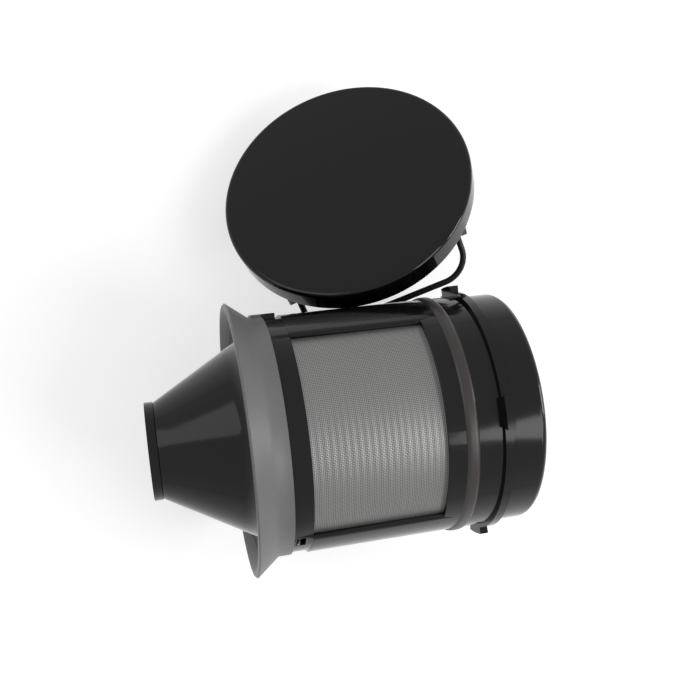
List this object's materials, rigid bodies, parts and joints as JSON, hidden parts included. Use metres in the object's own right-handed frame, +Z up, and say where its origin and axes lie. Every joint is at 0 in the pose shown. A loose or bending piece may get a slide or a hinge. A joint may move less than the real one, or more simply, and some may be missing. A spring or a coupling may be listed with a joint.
{
  "type": "vacuum filter",
  "caption": "Dust bucket filter set: screen body with dust cone and flared skirt lying on its side, and a gloss cup filter with wire bail leaning on it.",
  "frame": {"origin": "middle of the outlet face of the screen body, on its axis, at the mouth of the filter seat", "axes": "+X along the screen body's axis, out of the outlet; +Z up from the surface that the set lies on; the cup filter is on the +Y side"},
  "size_m": [0.1345, 0.1868, 0.0984],
  "materials": {
    "gloss_black": "gloss moulded",
    "mirror_black": "mirror gloss",
    "matte_black": "fine moulded",
    "skirt_grey": "satin",
    "seal_rubber": "satin",
    "woven_steel": "fine woven",
    "media_white": "pleated fibre",
    "foam_grey": "open foam",
    "screw_steel": "plated"
  },
  "bodies": {
    "filter_set": {"end_cap": "gloss_black", "lug_ring": "gloss_black", "head_housing": "gloss_black", "seat_gasket": "seal_rubber", "neck_seal": "seal_rubber", "screen_frame": "gloss_black", "screen_sleeve": "woven_steel", "flared_skirt": "skirt_grey", "dust_cone": "gloss_black", "cone_seal": "seal_rubber", "outlet_tube": "matte_black", "tube_screws": "screw_steel", "cup_lid": "mirror_black", "filter_carrier": "matte_black", "pleated_media": "media_white", "foam_disc": "foam_grey", "carrier_grille": "matte_black", "carrier_oring": "seal_rubber", "bail_pins": "screw_steel"},
    "bail": {"bail": "matte_black"}
  },
  "joints": [
    {"name": "bail_swing", "type": "hinge", "parent": "filter_set", "child": "bail", "pos_m": [-0.03958, 0.06031, -0.00695], "axis": [0.9296, 0.237, 0.2823], "range_deg": [0, 64]}
  ]
}
